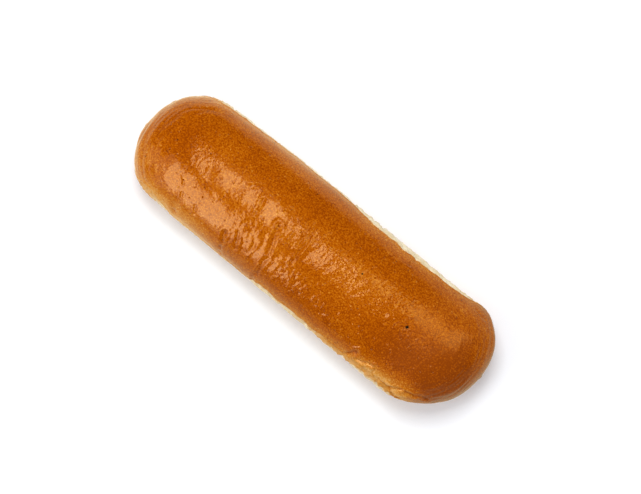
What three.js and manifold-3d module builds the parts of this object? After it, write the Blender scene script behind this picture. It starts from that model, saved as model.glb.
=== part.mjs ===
// A soft bread roll, baked in a batch with its long sides against its neighbours.
//
// Millimetres, +Z up. X runs along the roll and Y across it, and the origin is the middle of the
// flat base. The roll was baked as one piece, so it is one closed solid: a straight body with two
// rounded ends, a domed top, flanks that stand nearly upright where the neighbours pressed on
// them, and an undercut foot that ends in the flat base.
import * as THREE from "three";
import { mergeVertices } from "three/addons/utils/BufferGeometryUtils.js";
import Module from "manifold-3d";

// Overall size.
const LENGTH = 160;
const WIDTH = 50;
const HEIGHT = 38;

// Proportions of the form.
const WIDEST_LEVEL = 12; // height of the flanks' widest point
const END_REACH = 21.5; // how far each rounded end extends along X
const END_POWER = 2.15; // of the ends seen from above: 2 would be an ellipse, and more is squarer
const DOME_POWER = 2.4; // of the section above the widest level
const FOOT_POWER = 3.2;
const FOOT_REACH = 14; // depth of the lower curve, of which the base cuts off the last part

// How this roll departs from a true form.
const LEFT_NARROWING = 0.035; // share of the width lost towards the -X end
const LEFT_SKEW = 0.05; // slope of the -X end across the roll
const RIGHT_SKEW = 0.11; // slope of the +X end, whose +Y corner reaches further
const SIDE_DRIFT = 1.3; // how far the right half strays sideways, towards -Y
const LEFT_FALL = 1; // how much lower the crest is at the -X end
const CREST_ARCH = 1; // how much lower it is at both ends than in the middle

// Grid of the form, in cells along X, Y and Z.
const CELLS = [50, 17, 12];

const STRAIGHT = LENGTH / 2 - END_REACH;
const DOME_REACH = HEIGHT - WIDEST_LEVEL;

const { smoothstep } = THREE.MathUtils;

// Carries a point of the enclosing box inwards, to the surface of the true form.
function ontoForm(point) {
  const level = point.z - WIDEST_LEVEL;
  const power = level > 0 ? DOME_POWER : FOOT_POWER;
  const rise = Math.abs(level) / (level > 0 ? DOME_REACH : FOOT_REACH);
  const beyond = Math.max(0, Math.abs(point.x) - STRAIGHT);
  const outwards = (beyond / END_REACH) ** END_POWER;
  const across = Math.abs(point.y / (WIDTH / 2)) ** END_POWER;
  const spread = (outwards + across) ** (1 / END_POWER);
  const inwards = (spread ** power + rise ** power) ** (-1 / power);
  point.x = Math.sign(point.x) * (Math.abs(point.x) - beyond + beyond * inwards);
  point.y *= inwards;
  point.z = WIDEST_LEVEL + level * inwards;
}

// Bends the true form into this roll: one end narrower and lower, both ends a little askew.
function unevenly(point) {
  const towardsRight = point.x / (LENGTH / 2);
  const leftShare = smoothstep(-towardsRight, -0.2, 1);
  const skew = towardsRight < 0 ? LEFT_SKEW : RIGHT_SKEW;
  const endShare = smoothstep(Math.abs(towardsRight), 0.4, 1);
  const drift = smoothstep(towardsRight, -0.4, 0.65) - smoothstep(towardsRight, 0.7, 1);
  const height = Math.max(0, point.z - WIDEST_LEVEL) / DOME_REACH;
  point.z -= (LEFT_FALL * leftShare + CREST_ARCH * towardsRight ** 2) * height;
  point.x += skew * endShare * point.y;
  point.y = point.y * (1 - LEFT_NARROWING * leftShare) - SIDE_DRIFT * drift;
}

// The whole form before its base is cut: a box grid carried onto the surface.
function formGeometry() {
  const depth = DOME_REACH + FOOT_REACH;
  const grid = new THREE.BoxGeometry(LENGTH, WIDTH, depth, ...CELLS);
  grid.translate(0, 0, WIDEST_LEVEL - FOOT_REACH + depth / 2);
  grid.deleteAttribute("normal");
  grid.deleteAttribute("uv");
  const form = mergeVertices(grid, 1e-4);
  const position = form.getAttribute("position");
  const point = new THREE.Vector3();
  for (let i = 0; i < position.count; i++) {
    point.fromBufferAttribute(position, i);
    ontoForm(point);
    unevenly(point);
    position.setXYZ(i, point.x, point.y, point.z);
  }
  return fitted(form);
}

// Scales the form to its driving dimensions and centres it over the base.
function fitted(form) {
  form.computeBoundingBox();
  const { min, max } = form.boundingBox;
  form.translate(-(min.x + max.x) / 2, -(min.y + max.y) / 2, 0);
  form.scale(LENGTH / (max.x - min.x), WIDTH / (max.y - min.y), HEIGHT / max.z);
  return form;
}

const wasm = await Module();
wasm.setup();

function solidOf(geometry) {
  return new wasm.Manifold(
    new wasm.Mesh({
      numProp: 3,
      vertProperties: geometry.getAttribute("position").array,
      triVerts: new Uint32Array(geometry.index.array),
    }),
  );
}

// The tray's plane, as a slab that reaches up to z = 0.
function traySlab() {
  const thickness = 2 * FOOT_REACH;
  const slab = new THREE.BoxGeometry(2 * LENGTH, 2 * WIDTH, thickness);
  slab.translate(0, 0, -thickness / 2);
  slab.deleteAttribute("normal");
  slab.deleteAttribute("uv");
  return mergeVertices(slab);
}

// The roll: the form with its base cut flat where it sat on the tray.
function rollGeometry() {
  const cut = solidOf(formGeometry()).subtract(solidOf(traySlab())).getMesh();
  const geometry = new THREE.BufferGeometry();
  geometry.setAttribute("position", new THREE.BufferAttribute(cut.vertProperties, 3));
  geometry.setIndex(new THREE.BufferAttribute(cut.triVerts, 1));
  geometry.computeVertexNormals();
  return geometry;
}

const crust = new THREE.MeshStandardMaterial({ color: 0xb5660f, roughness: 0.4, metalness: 0 });

const roll = new THREE.Mesh(rollGeometry(), crust);
roll.name = "bread_roll";

const group = new THREE.Group();
group.add(roll);

export default group;
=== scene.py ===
"""A soft bread roll, seen from straight above on a white table in soft studio light.

The roll was baked against its neighbours, so its long flanks are pale torn crumb under the lip of
a glossy brown crust. Lengths in this script are millimetres unless a name says otherwise, in the
CAD part's frame: +X along the roll, +Y across it, +Z up from the flat base.
"""

import math

import bpy
import numpy as np
from mathutils import Matrix, Vector, noise


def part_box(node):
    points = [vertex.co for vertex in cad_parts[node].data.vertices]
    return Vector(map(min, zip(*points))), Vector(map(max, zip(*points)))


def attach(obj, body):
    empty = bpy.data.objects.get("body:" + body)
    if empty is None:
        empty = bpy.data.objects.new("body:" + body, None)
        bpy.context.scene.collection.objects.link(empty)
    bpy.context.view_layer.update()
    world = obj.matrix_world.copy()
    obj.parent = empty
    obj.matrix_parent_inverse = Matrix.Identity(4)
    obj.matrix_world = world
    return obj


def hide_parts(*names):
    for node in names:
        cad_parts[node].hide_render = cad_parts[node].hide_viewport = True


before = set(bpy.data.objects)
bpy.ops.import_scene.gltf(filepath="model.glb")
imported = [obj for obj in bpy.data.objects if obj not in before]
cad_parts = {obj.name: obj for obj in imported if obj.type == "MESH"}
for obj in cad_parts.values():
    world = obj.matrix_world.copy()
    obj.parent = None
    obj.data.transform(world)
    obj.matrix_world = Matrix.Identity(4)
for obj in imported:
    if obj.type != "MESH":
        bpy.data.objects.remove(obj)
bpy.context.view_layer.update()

MM = 0.001
NODE = "bread_roll"
LOW, HIGH = (np.array(corner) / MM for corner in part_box(NODE))
LENGTH, WIDTH, HEIGHT = HIGH - LOW

# Proportions of the form, as in the CAD part.
WIDEST_LEVEL = 12
END_REACH = 21.5
END_POWER = 2.15
DOME_POWER = 2.4
FOOT_POWER = 3.2
FOOT_REACH = 14
LEFT_NARROWING = 0.035
LEFT_SKEW = 0.05
RIGHT_SKEW = 0.11
SIDE_DRIFT = 1.3
LEFT_FALL = 1
CREST_ARCH = 1

ROOM = (0.6, 0.55, 0.15)  # how far the plain form stays inside the part's box along X, Y and Z

# Broad swells and hollows of the dough, as (x, y, z, radius, rise).
SWELLS = [
    (78, -5, 12, 18, 0.6),
    (77, 18, 12, 12, -0.9),
    (65, 24, 14, 12, 0.6),
    (66, -25, 14, 14, -1.1),
    (-76, -14, 12, 11, -0.9),
    (-60, -24, 14, 12, -0.5),
    (-49.5, 0, 37, 5, -0.1),
    (-64, 0, 36, 9, -0.13),
    (-3, 0, 38, 9, -0.12),
]

# Cells of the skin's grid along X, Y and Z: about half a millimetre each once on the form.
CELLS = (280, 90, 66)

# Height of the crust's lower edge along each flank, as (x, z): higher where more crumb shows. The
# +Y flank comes first, and the -Y flank, which is the shaded one, second.
CRUST_EDGES = [
    [
        (-74, 4), (-72, 8), (-69, 15), (-65, 19.5), (-60, 20.5), (-54, 20), (-30, 17.5),
        (-6, 18.5), (14, 23.5), (38, 24), (54, 21.5), (62, 17), (66, 11), (69, 4),
    ],
    [
        (-76, 4), (-74, 10), (-71, 18), (-66, 24), (-62, 25), (-58, 23.5), (-50, 17.5), (-32, 16), (-15, 18),
        (-8, 22), (10, 22.5), (32, 23), (40, 26), (52, 27), (60, 22.5), (65, 16), (68, 9), (69, 4),
    ],
]
FOOT_TOP = 3.2  # height of the brown foot below the torn crumb


# ---------------------------------------------------------------- small tools

def smoothstep(x, low, high):
    t = np.clip((x - low) / (high - low), 0, 1)
    return t * t * (3 - 2 * t)


def noise_at(points, size, seed=0, octaves=1, roughness=0.5):
    """Perlin noise from about -1 to 1, with features of the given size, or sizes along X, Y and Z."""
    total = np.zeros(len(points))
    share = 1.0
    for octave in range(octaves):
        where = points / np.asarray(size) * 2.0**octave + 17.3 * seed + 5.1 * octave
        total += share * np.array([noise.noise(p) for p in where.tolist()])
        share *= roughness
    return total


def hump(distance, radius):
    """1 at no distance, falling smoothly to 0 at the radius."""
    return smoothstep(radius - distance, 0, radius)


def distance_in_zone(points, x, y, reach_x, reach_y):
    """Distance in plan from a zone's middle: 1 on the ellipse of its reach along X and Y."""
    return np.hypot((points[:, 0] - x) / reach_x, (points[:, 1] - y) / reach_y)


# ---------------------------------------------------------------- the form

def box_grid(cells):
    """The surface lattice of a box as points from -1 to 1 and quads that face outwards."""
    shape = tuple(n + 1 for n in cells)
    lattice = np.indices(shape)
    last = np.array(cells).reshape(3, 1, 1, 1)
    outside = ((lattice == 0) | (lattice == last)).any(0)
    index = np.full(shape, -1)
    index[outside] = np.arange(outside.sum())
    quads = []
    for axis in range(3):
        for end in (0, -1):
            face = index.take(end, axis=axis)
            quad = np.stack([face[:-1, :-1], face[1:, :-1], face[1:, 1:], face[:-1, 1:]], -1)
            # An X or Z face turns outwards at its far end, and a Y face at its near end.
            outwards = (end == -1) != (axis == 1)
            quads.append((quad if outwards else quad[..., ::-1]).reshape(-1, 4))
    points = np.argwhere(outside) / np.array(cells) * 2 - 1
    return points, np.concatenate(quads)


def onto_form(box_points):
    """Carries points of the enclosing box to the surface of the true form."""
    dome_reach = HEIGHT - WIDEST_LEVEL
    straight = LENGTH / 2 - END_REACH
    x, y = box_points[:, 0] * LENGTH / 2, box_points[:, 1] * WIDTH / 2
    level = (box_points[:, 2] + 1) / 2 * (dome_reach + FOOT_REACH) - FOOT_REACH
    power = np.where(level > 0, DOME_POWER, FOOT_POWER)
    rise = np.abs(level) / np.where(level > 0, dome_reach, FOOT_REACH)
    beyond = np.maximum(0, np.abs(x) - straight)
    spread = (beyond / END_REACH) ** END_POWER + np.abs(box_points[:, 1]) ** END_POWER
    inwards = (spread ** (power / END_POWER) + rise**power) ** (-1 / power)
    x = np.sign(x) * (np.abs(x) - beyond + beyond * inwards)
    return np.stack([x, y * inwards, WIDEST_LEVEL + level * inwards], 1)


def unevenly(points):
    """Bends the true form into this roll: one end narrower and lower, both a little askew."""
    x, y, z = points.T
    towards_right = x / (LENGTH / 2)
    left_share = smoothstep(-towards_right, -0.2, 1)
    skew = np.where(towards_right < 0, LEFT_SKEW, RIGHT_SKEW)
    end_share = smoothstep(np.abs(towards_right), 0.4, 1)
    drift = smoothstep(towards_right, -0.4, 0.65) - smoothstep(towards_right, 0.7, 1)
    height = np.maximum(0, z - WIDEST_LEVEL) / (HEIGHT - WIDEST_LEVEL)
    z = z - (LEFT_FALL * left_share + CREST_ARCH * towards_right**2) * height
    x = x + skew * end_share * y
    y = y * (1 - LEFT_NARROWING * left_share) - SIDE_DRIFT * drift
    return np.stack([x, y, z], 1)


def fitted(points):
    """Scales the form to the CAD part's box and centres it over the base."""
    low, high = points.min(0), points.max(0)
    middle = (low + high) / 2 * [1, 1, 0]
    size = np.array([LENGTH - 2 * ROOM[0], WIDTH - 2 * ROOM[1], HEIGHT - ROOM[2]])
    return (points - middle) * size / [high[0] - low[0], high[1] - low[1], high[2]]


def normals_of(points, quads):
    a, b, c, d = (points[quads[:, i]] for i in range(4))
    face = np.cross(c - a, d - b)
    total = np.zeros_like(points)
    for i in range(4):
        np.add.at(total, quads[:, i], face)
    return total / np.linalg.norm(total, axis=1, keepdims=True)


# ---------------------------------------------------------------- the skin's relief

# Creases in the crust, as (x0, y0, x1, y1, half width, depth).
CREASES = [
    (-26.5, 4.0, -25.3, -2.0, 0.8, 0.5),
    (-26.0, -11.5, -23.4, -17.5, 0.9, 0.45),
    (-30.0, -15.0, -27.8, -22.0, 1.2, 0.7),
    (-15.3, 0.0, -13.0, -9.5, 1.3, 0.65),
    (-19.6, -9.5, -18.6, -15.5, 0.9, 0.4),
    (-12.6, -10.5, -11.9, -16.8, 1.0, 0.45),
    (-11.6, -17.5, -11.2, -23.0, 1.0, 0.8),
    (-6.1, 1.5, -5.6, -2.0, 0.9, 0.5),
    (-4.1, 4.0, -3.2, -8.5, 0.8, 0.6),
    (-51.9, -13.0, -50.1, -16.5, 0.6, 0.5),
    (-55.8, -8.4, -53.3, -11.2, 0.5, 0.4),
    (-44.8, -13.5, -42.6, -16.0, 0.6, 0.45),
    (-52.6, -17.0, -50.2, -20.0, 1.6, 0.7),
    (32.2, 22.4, 32.4, 18.8, 0.6, 0.7),
    (53.0, -22.4, 58.2, -20.4, 0.9, 1.2),
    (58.2, -20.4, 64.0, -19.2, 0.8, 1.0),
    (64.2, -18.4, 68.6, -16.4, 0.8, 0.8),
    (37.0, -18.8, 33.8, -22.8, 1.1, 1.0),
    (45.9, -18.4, 45.6, -22.4, 0.7, 0.8),
    (38.4, -21.2, 44.6, -19.4, 0.7, 0.7),
    (49.2, -21.0, 50.6, -24.2, 0.7, 0.7),
    (42.0, -22.0, 43.4, -24.6, 0.7, 0.6),
    (54.6, -21.8, 53.0, -24.4, 0.8, 0.7),
    (62.0, 21.8, 66.8, 20.8, 0.8, 0.35),
]


def distance_to_stroke(plan, stroke):
    """Distance in plan from points to a straight stroke."""
    start, end = np.array(stroke[:2]), np.array(stroke[2:4])
    along = end - start
    share = np.clip((plan - start) @ along / (along @ along), 0, 1)
    return np.linalg.norm(plan - start - share[:, None] * along, axis=1)


def creases(points):
    """The listed creases as relief, with a little swelling beside each."""
    wander = np.stack([noise_at(points, 6, 31), noise_at(points, 6, 32)], 1)
    wander += 0.4 * np.stack([noise_at(points, 2, 33), noise_at(points, 2, 34)], 1)
    plan = points[:, :2] + 1.1 * wander
    fading = 0.75 + 0.7 * noise_at(points, 3, 35)
    relief = np.zeros(len(points))
    for stroke in CREASES:
        distance = distance_to_stroke(plan, stroke)
        half_width, depth = stroke[4:]
        relief -= depth * fading * np.clip(1 - distance / half_width, 0, 1) ** 1.5
        relief += 0.2 * depth * hump(np.abs(distance - 1.5 * half_width), half_width)
    return relief * smoothstep(points[:, 2], 12, 20)


# Where the fan of fine folds lies, and the weaker strays beyond it, as (x, y, reach along x and y).
WRINKLED = (-14, -10, 20, 18)
STRAY_WRINKLED = (6, 3, 30, 13)
STRAY_SHARE = 0.26
FAN_MIDDLE = -8  # the x at which the folds run straight across the roll
FAN_SPREAD = 0.02  # share by which the folds draw apart with each millimetre towards +Y


def wrinkles(points, top):
    """Fine folds across the roll, fanning out from its -Y flank, left of the middle."""
    x, y, z = points.T
    spread = 1 + FAN_SPREAD * (np.clip(y, -24, 16) + 12)
    fan = FAN_MIDDLE + (x - FAN_MIDDLE) / spread
    sway = 1.2 * noise_at(points, 9, 3) + 0.4 * noise_at(points, 3, 4)
    folded = np.stack([fan + sway, y, z], 1)
    broad = noise_at(folded, (2.3, 8, 8), 5)
    fine = noise_at(folded, (1.0, 3.5, 3.5), 6)
    patch = noise_at(points, 9, 7)
    where = smoothstep(1.25 - distance_in_zone(points, *WRINKLED) + 0.45 * patch, 0, 0.8)
    stray = smoothstep(1.1 - distance_in_zone(points, *STRAY_WRINKLED) + 0.7 * patch, 0, 0.8)
    folds = 0.4 * np.abs(broad) + 0.17 * np.abs(fine) + 0.1 * broad
    return np.maximum(where, STRAY_SHARE * stray) * folds * top


# Small blisters of the crust, and its one open pinhole, as (x, y, z, radius, rise).
BLISTERS = [
    (-77.2, 11.9, 14, 2.0, 0.45),
    (-79.6, -1.8, 13, 1.9, 0.35),
    (-51.0, 24.3, 20, 1.6, 0.5),
    (-35.1, 1.7, 38, 1.1, 0.12),
    (79.3, 2.6, 14, 1.7, 0.35),
    (-38.5, -24.3, 14, 2.2, 0.6),
    (-10.5, -24.3, 16, 1.8, 0.5),
    (14.5, 8.3, 38, 1.1, 0.17),
    (16.4, 5.6, 38, 1.3, 0.17),
    (18.8, 3.6, 38, 1.2, 0.17),
    (12.3, 6.6, 38, 1.2, 0.17),
    (22.6, 2.0, 38, 1.1, 0.17),
    (24.4, 5.0, 38, 1.0, 0.17),
    (-64, -3, 37, 0.9, 0.12),
    (52, -12.5, 35, 1.1, 0.15),
    (45.2, 0.0, 37.3, 1.0, -0.7),
]


def blisters(points):
    """The blisters and the pinhole, as relief."""
    relief = np.zeros(len(points))
    for x, y, z, radius, rise in BLISTERS:
        relief += rise * hump(np.linalg.norm(points - [x, y, z], axis=1), radius)
    return relief


MARKS = 170
MARKED = [(-66, -20), (64, 20)]  # corners of the area that the small marks are scattered over
BEAD, DENT = 0.09, -0.12  # usual rise of a mark


def small_marks(points):
    """Beads and dents a millimetre or two across, scattered over the top."""
    lots = np.random.default_rng(5)
    relief = np.zeros(len(points))
    for _ in range(MARKS):
        x, y = lots.uniform(*MARKED)
        radius = lots.uniform(0.8, 1.5)
        rise = lots.choice([BEAD, DENT]) * lots.uniform(0.5, 1.2)
        relief += rise * hump(np.hypot(points[:, 0] - x, points[:, 1] - y), radius)
    return relief * smoothstep(points[:, 2], 18, 24)


RIDGE_MIDDLE = 50  # distance of the ridges' middles from the roll's, along X


def end_ridges(points):
    """Ridges that run round both ends, parallel to the outline: 0 between them, near 1 on a crest."""
    x, y, z = points.T
    beyond = np.abs(x) - RIDGE_MIDDLE
    out, around = np.hypot(beyond, y), np.arctan2(y, beyond)
    ringed = np.stack([out, 20 * around, 0.3 * z + 40 * np.sign(x)], 1)
    where = smoothstep(np.abs(x), 54, 64) * smoothstep(out, 13, 19) * smoothstep(z, 8, 14)
    return np.abs(noise_at(ringed, (1.8, 10, 10), 8)) * where


def lumps(points):
    """The slow swell of the dough."""
    swell = 0.3 * noise_at(points, 34, 11) + 0.1 * noise_at(points, 13, 12)
    swell += 0.03 * noise_at(points, 6, 13)
    for x, y, z, radius, rise in SWELLS:
        swell += rise * hump(np.linalg.norm(points - [x, y, z], axis=1), radius)
    return swell


def orange_peel(points):
    """The crust's faint unevenness between its wrinkles."""
    return 0.03 * noise_at(points, 1.7, 21, octaves=2)


def crust_edge_height(points):
    """Height of the crust's ragged lower edge at each point's flank."""
    x, y, _ = points.T
    lit, shaded = (np.interp(x, *np.array(edge).T) for edge in CRUST_EDGES)
    ragged = 1.3 * noise_at(points, (9, 9, 30), 41) + 1.1 * noise_at(points, (3.5, 3.5, 12), 42)
    ragged += 0.5 * noise_at(points, (1.4, 1.4, 4), 44)
    return np.where(y > 0, lit, shaded) + ragged


def torn_share(points):
    """1 on torn crumb and 0 on crust and foot, and how far below the crust's edge each point is."""
    _, y, z = points.T
    below_lip = crust_edge_height(points) - z
    above_foot = z - (FOOT_TOP + 0.8 * noise_at(points, 6, 43))
    flank = smoothstep(np.abs(y), 0.31 * WIDTH, 0.36 * WIDTH)
    return smoothstep(below_lip, -0.3, 0.3) * smoothstep(above_foot, -0.6, 0.8) * flank, below_lip


def shreds(points):
    """Torn crumb: ragged sheets and fibres pulled upright, with small holes between them."""
    pull = np.stack([noise_at(points, 7, 54), noise_at(points, 7, 55), noise_at(points, 7, 56)], 1)
    pulled = points + 2.2 * pull
    sheets = np.abs(noise_at(pulled, (2.8, 2.8, 12), 51))
    fibres = noise_at(pulled, (1.3, 1.3, 5), 52)
    fluff = noise_at(points, 1.0, 57, octaves=2)
    holes = smoothstep(noise_at(pulled, (1.8, 1.8, 2.8), 53), 0.22, 0.5)
    return np.minimum(0.3 - 1.6 * sheets + 0.4 * fibres + 0.22 * fluff - 0.7 * holes, 0.35)


def settled(points, reach=0.8):
    """Flattens whatever would sink into the table, with a soft edge of the given reach."""
    z = points[:, 2]
    eased = (z + reach) ** 2 / (4 * reach)
    flat = np.where(z > reach, z, np.where(z < -reach, 0, eased))
    return np.stack([points[:, 0], points[:, 1], flat], 1)


LIP_RISE = 0.22  # of the crust's rolled edge above the crumb
GROOVE_DEPTH = 0.35  # of the line below it, where the neighbour tore away


def roll_surface():
    """The whole skin: points, quads, and the fields that the material reads."""
    box_points, quads = box_grid(CELLS)
    form = fitted(unevenly(onto_form(box_points)))
    torn, below_lip = torn_share(form)
    top = smoothstep(form[:, 2], 12, 20) * (1 - torn)
    lip = hump(np.abs(below_lip + 0.9), 1.2) * (torn < 0.5) * smoothstep(np.abs(form[:, 1]), 15, 19)
    groove = hump(np.abs(below_lip - 0.5), 0.8) * torn

    swollen = form + normals_of(form, quads) * lumps(form)[:, None]
    creased = creases(form)
    pooled = pooling(form)
    relief = creased + wrinkles(form, top) * (1 - 0.8 * pooled)
    relief += orange_peel(form) * (1 - torn) * (1 - 0.5 * pooled)
    relief += (small_marks(form) * (1 - 0.7 * pooled) + 0.5 * end_ridges(form)) * (1 - torn)
    relief += blisters(form) + LIP_RISE * lip - GROOVE_DEPTH * groove + shreds(form) * torn
    points = swollen + normals_of(swollen, quads) * relief[:, None]
    fields = {"torn": torn, "below_lip": below_lip, "form": form, "creased": creased, "pooled": pooled}
    return settled(points), quads, fields


# ---------------------------------------------------------------- colour fields

# Places where the crust is browner or paler, as (x, y, reach along x, reach along y, change). The paler
# place at the -X end's -Y side is painted sheen.
CRUST_TONES_AND_SHEEN = [
    (28, 13, 40, 6, 0.10),
    (-62, 5, 8, 12, 0.10),
    (68, -4, 9, 13, 0.28),
    (-71, 5, 7, 12, 0.08),
    (54, -9, 20, 10, 0.2),
    # Painted sheen: a paler patch standing in for a soft reflection round this end.
    (-73, -13, 8, 9, -0.09),
    (-20, 14, 30, 5, 0.05),
    (5, -18, 24, 4, 0.07),
    (38, -12, 22, 7, 0.06),
    (48, -21.5, 11, 3.5, -0.3),
    (-62, -21, 7, 3.5, -0.18),
    (-46, -21, 15, 5, -0.22),
    (12, -23, 24, 1.8, -0.12),
    (60, -20.5, 7, 3, -0.22),
    (58, -16.5, 9, 2, -0.1),
]


def baking_with_painted_light(form, torn, below_lip, creased):
    """How baked each point is, plus painted shade in the creases, painted light on the end ridges and a
    painted sheen: 0 is white crumb, 0.45 golden skin and 1 dark brown crust.
    """
    x, y, z = form.T
    baked = 0.78 + 0.07 * noise_at(form, 22, 61) + 0.035 * noise_at(form, 6, 62)
    for *zone, change in CRUST_TONES_AND_SHEEN:
        baked += change * np.exp(-(distance_in_zone(form, *zone) ** 2)) * (z > 14)
    # Painted shade: creases darken, partly for a browner line in them and partly for the shade they hold.
    # Painted light: the end ridges' crests are paler, as if lit.
    baked += 0.24 * smoothstep(-creased, 0.15, 0.8) - 0.1 * end_ridges(form)
    flank = smoothstep(np.abs(y), 17, 22)
    baked -= 0.15 * flank * smoothstep(below_lip, -6.5, -1)
    shaded_side = y < 0
    crumb = 0.07 + 0.07 * shaded_side
    crumb += 0.25 * shaded_side * smoothstep(x, 0, 34) * smoothstep(below_lip, 9, 4)
    crumb += 0.2 * smoothstep(np.abs(x + 1), 50, 66)
    crumb += 0.1 * noise_at(form, (4, 4, 9), 63) + 0.08 * noise_at(form, (1.4, 1.4, 3), 64)
    crumb += 0.22 * smoothstep(below_lip, 1.4, 0.0) + 0.25 * smoothstep(z, 7, 3)
    foot = 0.62 + 0.1 * noise_at(form, 14, 65) + 0.06 * noise_at(form, 4, 66)
    foot += 0.14 * smoothstep(np.abs(y) / WIDTH * 2 + np.abs(x) / LENGTH * 2, 1.2, 0.2)
    low = smoothstep(z, 6, 2.5)
    baked = baked * (1 - low) + foot * low
    return np.clip(baked * (1 - torn) + crumb * torn, 0, 1)


def glossiness(form, torn):
    """1 where the egg wash shines, less towards the right end, and 0 on crumb and base."""
    x, _, z = form.T
    satin = 0.35 * smoothstep(x, 36, 54) * smoothstep(x, 76, 68)
    wash = 1 - satin + 0.06 * noise_at(form, 9, 71)
    return np.clip(wash, 0, 1) * (1 - torn) * smoothstep(z, 4, 12)


# Where the egg wash pooled and dried smooth, as (x, y, reach along x, reach along y).
POOLS = [
    (-38, 1, 12, 6.5),
    (-21, 2, 3.5, 3.5),
    (-56, -8, 10, 5),
    (-42, -10.5, 11, 5.5),
    (58, 8, 12, 9),
]


def pooling(form):
    """1 where pooled egg wash hides the crust's pebbly texture, 0 where the texture shows."""
    pooled = np.zeros(len(form))
    ragged = 0.5 * noise_at(form, 6, 72)
    for zone in POOLS:
        pooled = np.maximum(pooled, smoothstep(distance_in_zone(form, *zone) + ragged, 1.35, 0.75))
    return pooled * (form[:, 2] > 14)


# ---------------------------------------------------------------- materials

def node(tree, kind, inputs=None, **settings):
    """A new node, with each input set to a value or linked to a socket."""
    made = tree.nodes.new(kind)
    for name, value in settings.items():
        setattr(made, name, value)
    for name, value in (inputs or {}).items():
        if isinstance(value, bpy.types.NodeSocket):
            tree.links.new(value, made.inputs[name])
        else:
            made.inputs[name].default_value = value
    return made


def srgb(red, green, blue):
    """An 8-bit sRGB colour as linear numbers."""
    return tuple(
        c / 12.92 if c <= 0.04045 else ((c + 0.055) / 1.055) ** 2.4
        for c in (red / 255, green / 255, blue / 255)
    )


def ramp(tree, factor, stops):
    """A colour ramp's result."""
    made = node(tree, "ShaderNodeValToRGB", {"Fac": factor})
    elements = made.color_ramp.elements
    while len(elements) < len(stops):
        elements.new(0.5)
    for element, (place, colour) in zip(elements, stops):
        element.position = place
        element.color = (*colour, 1)
    return made.outputs["Color"]


def maths(tree, operation, *values):
    """The result of one sum on values and sockets."""
    made = tree.nodes.new("ShaderNodeMath")
    made.operation = operation
    for i, value in enumerate(values):
        if isinstance(value, bpy.types.NodeSocket):
            tree.links.new(value, made.inputs[i])
        else:
            made.inputs[i].default_value = value
    return made.outputs[0]


def map_range(tree, value, source, target=(0, 1), **settings):
    """A value's place in the source range, carried to the target range."""
    limits = {"From Min": source[0], "From Max": source[1], "To Min": target[0], "To Max": target[1]}
    return node(tree, "ShaderNodeMapRange", {"Value": value, **limits}, **settings).outputs["Result"]


def field(tree, name):
    """One of the fields that make_roll writes on the mesh."""
    return node(tree, "ShaderNodeAttribute", attribute_name=name).outputs["Fac"]


# Colour at each level of baking.
BAKED_COLOURS = [
    (0.00, srgb(236, 224, 196)),
    (0.15, srgb(228, 206, 164)),
    (0.32, srgb(213, 160, 94)),
    (0.45, srgb(203, 136, 50)),
    (0.60, srgb(186, 107, 16)),
    (0.74, srgb(174, 88, 1)),
    (0.84, srgb(162, 76, 0)),
    (1.00, srgb(136, 58, 0)),
]

# The pinhole, painted black for the shade inside it, and the burnt specks, as (x, y, radius).
SPECKS_AND_SHADED_PINHOLE = [
    (45.2, 0.0, 0.76),
    (19.7, 5.2, 0.34),
    (-4.1, 21.8, 0.28),
    (-12.0, 18.1, 0.26),
    (22.6, 21.2, 0.24),
    (-65.3, 1.2, 0.26),
    (-71.1, -11.1, 0.26),
    (-65.5, 22.0, 0.22),
]
# Burnt colour of each speck, also painted into the pinhole as the shade inside it.
SPECK_AND_PINHOLE_SHADE_COLOUR = srgb(12, 4, 1)


def skin_above(points, x, y):
    """The upper skin's point that is nearest to a place in plan."""
    upper = points[points[:, 2] > WIDEST_LEVEL]
    return upper[np.argmin(np.hypot(upper[:, 0] - x, upper[:, 1] - y))]


def specks_and_pinhole_shade(tree, place, points):
    """1 in the pinhole, whose black is painted shade, and in each burnt speck, and 0 elsewhere."""
    dark = 0
    for x, y, radius in SPECKS_AND_SHADED_PINHOLE:
        centre = tuple(skin_above(points, x, y) * MM)
        far = node(tree, "ShaderNodeVectorMath", {0: place, 1: centre}, operation="DISTANCE")
        inside = map_range(tree, far.outputs["Value"], (1.25 * radius * MM, 0.65 * radius * MM))
        dark = maths(tree, "MAXIMUM", dark, inside)
    return dark


# How closely the skin's finest features lie, in features to a metre.
MOTTLE_DENSITY = 420
PEEL_DENSITY = 850
GRAIN_DENSITY = 1700
BEAD_DENSITY = 460
PIT_DENSITY = 520

MARK_RADIUS = 0.24  # of the beads and pits, as a share of their spacing


def scattered(tree, place, density, low, high):
    """Rounded marks: one in each cell of a lattice whose lot, from 0 to 1, lies between low and high."""
    cells = node(tree, "ShaderNodeTexVoronoi", {"Vector": place, "Scale": density, "Randomness": 1})
    lot = node(tree, "ShaderNodeSeparateColor", {"Color": cells.outputs["Color"]}).outputs["Red"]
    above = maths(tree, "GREATER_THAN", lot, low)
    drawn = maths(tree, "MULTIPLY", above, maths(tree, "LESS_THAN", lot, high))
    distance = cells.outputs["Distance"]
    dome = map_range(tree, distance, (MARK_RADIUS, 0), interpolation_type="SMOOTHSTEP")
    return maths(tree, "MULTIPLY", drawn, dome)


def noise_texture(tree, place, density, detail, roughness):
    """Fractal noise around 0.5."""
    inputs = {"Vector": place, "Scale": density, "Detail": detail, "Roughness": roughness}
    return node(tree, "ShaderNodeTexNoise", inputs).outputs["Fac"]


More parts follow.
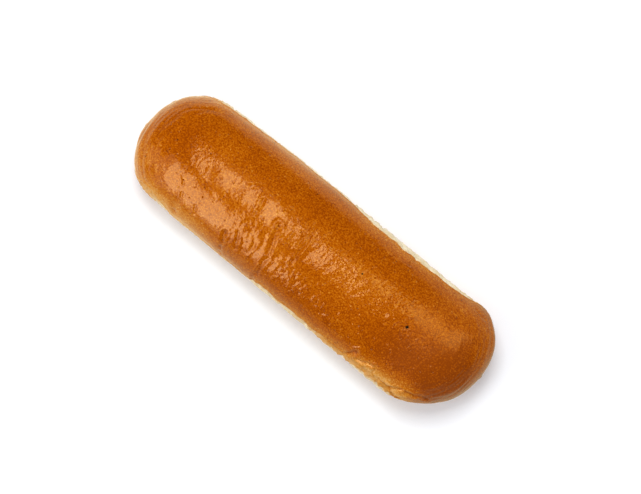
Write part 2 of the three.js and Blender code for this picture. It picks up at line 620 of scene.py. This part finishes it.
def roll_material(points):
    """Crumb, golden skin and egg-washed crust in one material, led by the mesh's fields."""
    made = bpy.data.materials.new("egg_washed_crust_and_crumb")
    made.use_nodes = True
    tree = made.node_tree
    tree.nodes.clear()
    place = node(tree, "ShaderNodeTexCoord").outputs["Object"]
    # The baked field holds the crust's own colour, and also painted shade in the creases, painted light on
    # the end ridges and a patch of painted sheen.
    baked, gloss, torn, pooled = (field(tree, name) for name in ("baked", "gloss", "torn", "pooled"))

    mottle = maths(tree, "SUBTRACT", noise_texture(tree, place, MOTTLE_DENSITY, 4, 0.6), 0.5)
    grain = maths(tree, "SUBTRACT", noise_texture(tree, place, GRAIN_DENSITY, 3, 0.6), 0.5)
    # The grain is weaker on pale skin, and weaker still on crumb.
    strength = map_range(tree, baked, (0.35, 0.7), (0.3, 1))
    strength = maths(tree, "MULTIPLY", strength, maths(tree, "MULTIPLY_ADD", torn, -0.5, 1))
    beads = scattered(tree, place, BEAD_DENSITY, 0, 0.28)
    pits = scattered(tree, place, PIT_DENSITY, 0.7, 1)
    level = maths(tree, "MULTIPLY_ADD", mottle, 0.2, baked)
    level = maths(tree, "MULTIPLY_ADD", maths(tree, "MULTIPLY", grain, 1.3), strength, level)
    # Painted shade and painted glints: pits are coloured darker and beads paler, besides shaping the bump
    # below.
    level = maths(tree, "MULTIPLY_ADD", maths(tree, "SUBTRACT", pits, beads), 0.24, level)
    # 1 on each burnt speck, and on the pinhole, where it paints the shade inside it.
    dark = specks_and_pinhole_shade(tree, place, points)
    colour = node(
        tree,
        "ShaderNodeMix",
        {"Factor": dark, "A": ramp(tree, level, BAKED_COLOURS), "B": (*SPECK_AND_PINHOLE_SHADE_COLOUR, 1)},
        data_type="RGBA",
    ).outputs["Result"]

    matt = maths(tree, "MULTIPLY", maths(tree, "MAXIMUM", torn, dark), 0.95)
    rough = maths(tree, "MAXIMUM", map_range(tree, gloss, (0, 1), (0.55, 0.11)), matt)

    peel = noise_texture(tree, place, PEEL_DENSITY, 1, 0.5)
    pebbles = maths(tree, "MULTIPLY", peel, maths(tree, "MULTIPLY_ADD", pooled, -0.35, 0.55))
    height = maths(tree, "MULTIPLY_ADD", pits, -1.3, maths(tree, "ADD", pebbles, beads))
    bump = node(tree, "ShaderNodeBump", {"Height": height, "Strength": 1, "Distance": 0.18 * MM})

    shader = node(
        tree,
        "ShaderNodeBsdfPrincipled",
        {"Base Color": colour, "Roughness": rough, "Normal": bump.outputs["Normal"]},
    )
    shader.inputs["IOR"].default_value = 1.45
    shader.inputs["Specular Tint"].default_value = (1.0, 0.72, 0.33, 1)
    out = node(tree, "ShaderNodeOutputMaterial", {"Surface": shader.outputs["BSDF"]})
    out.is_active_output = True
    return made


TOWARDS_KEY = (-1, 0.35, 0)  # direction along the table in which its glow grows


def table_material():
    """A white light table. In the crust's gloss it looks warm, and dim far off and on the shaded side."""
    made = bpy.data.materials.new("white_table")
    made.use_nodes = True
    tree = made.node_tree
    shader = tree.nodes["Principled BSDF"]
    shader.inputs["Base Color"].default_value = (0.83, 0.86, 0.9, 1)
    shader.inputs["Roughness"].default_value = 0.9
    shader.inputs["Specular IOR Level"].default_value = 0.1
    shader.inputs["Emission Color"].default_value = (1, 1, 1, 1)
    shader.inputs["Emission Strength"].default_value = 0.11

    place = node(tree, "ShaderNodeTexCoord").outputs["Object"]
    towards_key = node(tree, "ShaderNodeVectorMath", {0: place, 1: TOWARDS_KEY}, operation="DOT_PRODUCT")
    lit = map_range(tree, towards_key.outputs["Value"], (-30 * MM, 60 * MM), (0.5, 1.12))
    away = node(tree, "ShaderNodeVectorMath", {0: place}, operation="LENGTH")
    near = map_range(tree, away.outputs["Value"], (80 * MM, 400 * MM), (1.1, 0.2))
    brightness = maths(tree, "MULTIPLY", lit, near)
    reflected = node(tree, "ShaderNodeEmission", {"Color": (1, 0.82, 0.5, 1), "Strength": brightness})
    path = node(tree, "ShaderNodeLightPath")
    mixed = tree.nodes.new("ShaderNodeMixShader")
    tree.links.new(path.outputs["Is Glossy Ray"], mixed.inputs[0])
    tree.links.new(shader.outputs[0], mixed.inputs[1])
    tree.links.new(reflected.outputs[0], mixed.inputs[2])
    tree.links.new(mixed.outputs[0], tree.nodes["Material Output"].inputs["Surface"])
    return made


# ---------------------------------------------------------------- pieces

def mesh_object(name, points, faces, material):
    mesh = bpy.data.meshes.new(name)
    mesh.from_pydata(points.tolist(), [], faces.tolist())
    mesh.materials.append(material)
    mesh.shade_smooth()
    made = bpy.data.objects.new(name, mesh)
    bpy.context.scene.collection.objects.link(made)
    return made


def set_field(mesh, name, values):
    attribute = mesh.attributes.new(name, "FLOAT", "POINT")
    attribute.data.foreach_set("value", values.astype(np.float32))


def make_roll():
    points, quads, fields = roll_surface()
    roll = mesh_object("baked_roll", points * MM, quads, roll_material(points))
    form, torn = fields["form"], fields["torn"]
    set_field(roll.data, "torn", torn)
    set_field(roll.data, "baked", baking_with_painted_light(form, torn, fields["below_lip"], fields["creased"]))
    set_field(roll.data, "gloss", glossiness(form, torn))
    set_field(roll.data, "pooled", fields["pooled"])
    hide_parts(NODE)
    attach(roll, "root")


TABLE_REACH = 3000  # from the middle to each side
TABLE_LEVEL = 0.05  # a hair above the roll's flat base, so that the two never share a plane


def make_table():
    around = [(-1, -1), (1, -1), (1, 1), (-1, 1)]
    corners = np.array([(TABLE_REACH * x, TABLE_REACH * y, TABLE_LEVEL) for x, y in around]) * MM
    mesh_object("table", corners, np.array([[0, 1, 2, 3]]), table_material())


# ---------------------------------------------------------------- camera and light

VIEW_TURN = math.radians(38.62)  # how far the picture is turned about the vertical
VIEW_WIDTH = 244.2  # what the picture takes in, at the roll's widest level
VIEW_HEIGHT = 1200
VIEW_MIDDLE = (1.28, 3.29)  # the point of the table in the middle of the picture
SENSOR_WIDTH = 36


def make_camera():
    data = bpy.data.cameras.new("camera")
    data.sensor_width = SENSOR_WIDTH
    data.lens = SENSOR_WIDTH * (VIEW_HEIGHT - WIDEST_LEVEL) / VIEW_WIDTH
    data.clip_start, data.clip_end = 0.05, 10
    camera = bpy.data.objects.new("camera", data)
    camera.location = Vector((*VIEW_MIDDLE, VIEW_HEIGHT)) * MM
    camera.rotation_euler = (0, 0, VIEW_TURN)
    bpy.context.scene.collection.objects.link(camera)
    bpy.context.scene.camera = camera
    bpy.context.scene.view_settings.view_transform = "Standard"


def area_light(name, place, aim, size, watts, turn=0):
    """A white light that faces its aim, turned about its own axis by the given degrees."""
    data = bpy.data.lights.new(name, "AREA")
    data.size, data.size_y = size[0] * MM, size[1] * MM
    data.energy = watts
    light = bpy.data.objects.new(name, data)
    light.location = Vector(place) * MM
    facing = (Vector(aim) - Vector(place)).to_track_quat("-Z", "Y").to_matrix()
    light.rotation_euler = (facing @ Matrix.Rotation(math.radians(turn), 3, "Z")).to_euler()
    light.visible_camera = False
    bpy.context.scene.collection.objects.link(light)
    return light


def softbox(name, place, aim, size, watts):
    """A light that shapes the roll, but leaves no highlight of its own."""
    light = area_light(name, place, aim, size, watts)
    light.data.shape = "RECTANGLE"
    light.visible_glossy = False


def gloss_card(name, place, aim, size, watts, turn=0, colour=(1, 1, 1)):
    """An oval card that shows only as a highlight in the crust's gloss."""
    light = area_light(name, place, aim, size, watts, turn)
    light.data.shape = "ELLIPSE"
    light.data.color = colour
    light.visible_diffuse = False


def make_lights():
    softbox("key_softbox", (-190, 210, 900), (0, 0, 0), (320, 320), 5.1)
    softbox("fill_softbox", (-330, -480, 430), (0, 0, 20), (400, 300), 1.2)
    gloss_card("flank_card", (-88, -250, 249), (-3, -10, 52), (112, 430), 0.63, turn=25)
    gloss_card("flank_glow", (-148, -275, 190), (-63, -35, -7), (260, 560), 0.5, turn=22)
    gloss_card("crest_card", (-52, 8, 640), (-52, 8, 0), (102, 250), 0.46)
    gloss_card("end_card", (265, 330, 640), (58, 8, 35), (350, 620), 1.9, colour=(1, 0.95, 0.55))
    gloss_card("tip_card", (-380, -230, 170), (-70, -10, 20), (300, 300), 0.28)
    make_surroundings()


def make_surroundings():
    """White light from all around, which the crust's gloss hardly shows."""
    world = bpy.data.worlds.new("studio")
    world.use_nodes = True
    tree = world.node_tree
    background = tree.nodes["Background"]
    background.inputs["Color"].default_value = (1, 1, 1, 1)
    path = node(tree, "ShaderNodeLightPath")
    strength = maths(tree, "MULTIPLY_ADD", path.outputs["Is Glossy Ray"], -0.6, 0.62)
    tree.links.new(strength, background.inputs["Strength"])
    bpy.context.scene.world = world


make_camera()
make_lights()
make_table()
make_roll()
